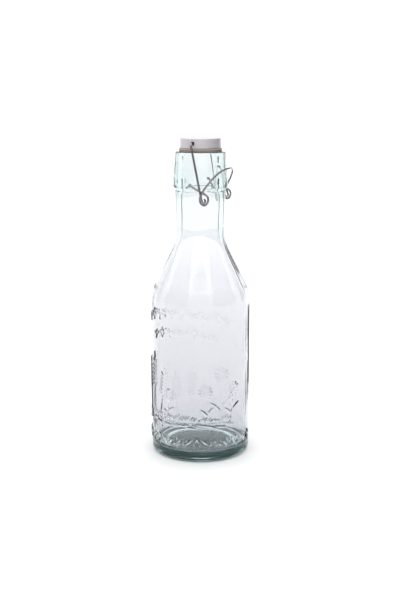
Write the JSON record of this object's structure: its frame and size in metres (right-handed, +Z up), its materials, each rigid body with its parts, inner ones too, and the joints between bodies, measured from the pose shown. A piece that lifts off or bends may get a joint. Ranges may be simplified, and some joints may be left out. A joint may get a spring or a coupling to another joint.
{
  "type": "swing top bottle",
  "caption": "Clear pale green glass bottle with a stepped neck, and a swing top closure: a white stopper with a rubber gasket on a wire bail and a latching wire lever.",
  "frame": {"origin": "centre of the base, on the surface the bottle stands on", "axes": "+Z up along the bottle; the embossed side faces -Y; the lever's finger loop is on the +X side, and both lever pivots lie on a line along Y"},
  "size_m": [0.0884, 0.0884, 0.284],
  "materials": {
    "bottle_glass": "clear pressed glass with a faint green tint, smooth, with low relief",
    "stopper_glaze": "satin warm white glaze",
    "gasket_rubber": "matt beige rubber",
    "spring_wire": "drawn bright steel wire"
  },
  "bodies": {
    "bottle": {"glass_bottle": "bottle_glass"},
    "lever": {"lever_wire": "spring_wire"},
    "stopper": {"stopper_head": "stopper_glaze", "gasket": "gasket_rubber"},
    "bail": {"bail_wire": "spring_wire"}
  },
  "joints": [
    {"name": "lever_hinge", "type": "hinge", "parent": "bottle", "child": "lever", "pos_m": [0, 0, 0.2449], "axis": [0, 1, 0], "range_deg": [0, 64.6]},
    {"name": "stopper_swing", "type": "hinge", "parent": "bottle", "child": "stopper", "pos_m": [0.0146, 0, 0.2301], "axis": [0, -1, 0], "range_deg": [-155, 0]},
    {"name": "bail_hinge", "type": "hinge", "parent": "stopper", "child": "bail", "pos_m": [0, 0, 0.2796], "axis": [0, 1, 0], "range_deg": [0, 20.1]}
  ],
  "couplings": [
    {"joint": "bail_hinge", "follows": "lever_hinge", "ratio": 0.31}
  ]
}
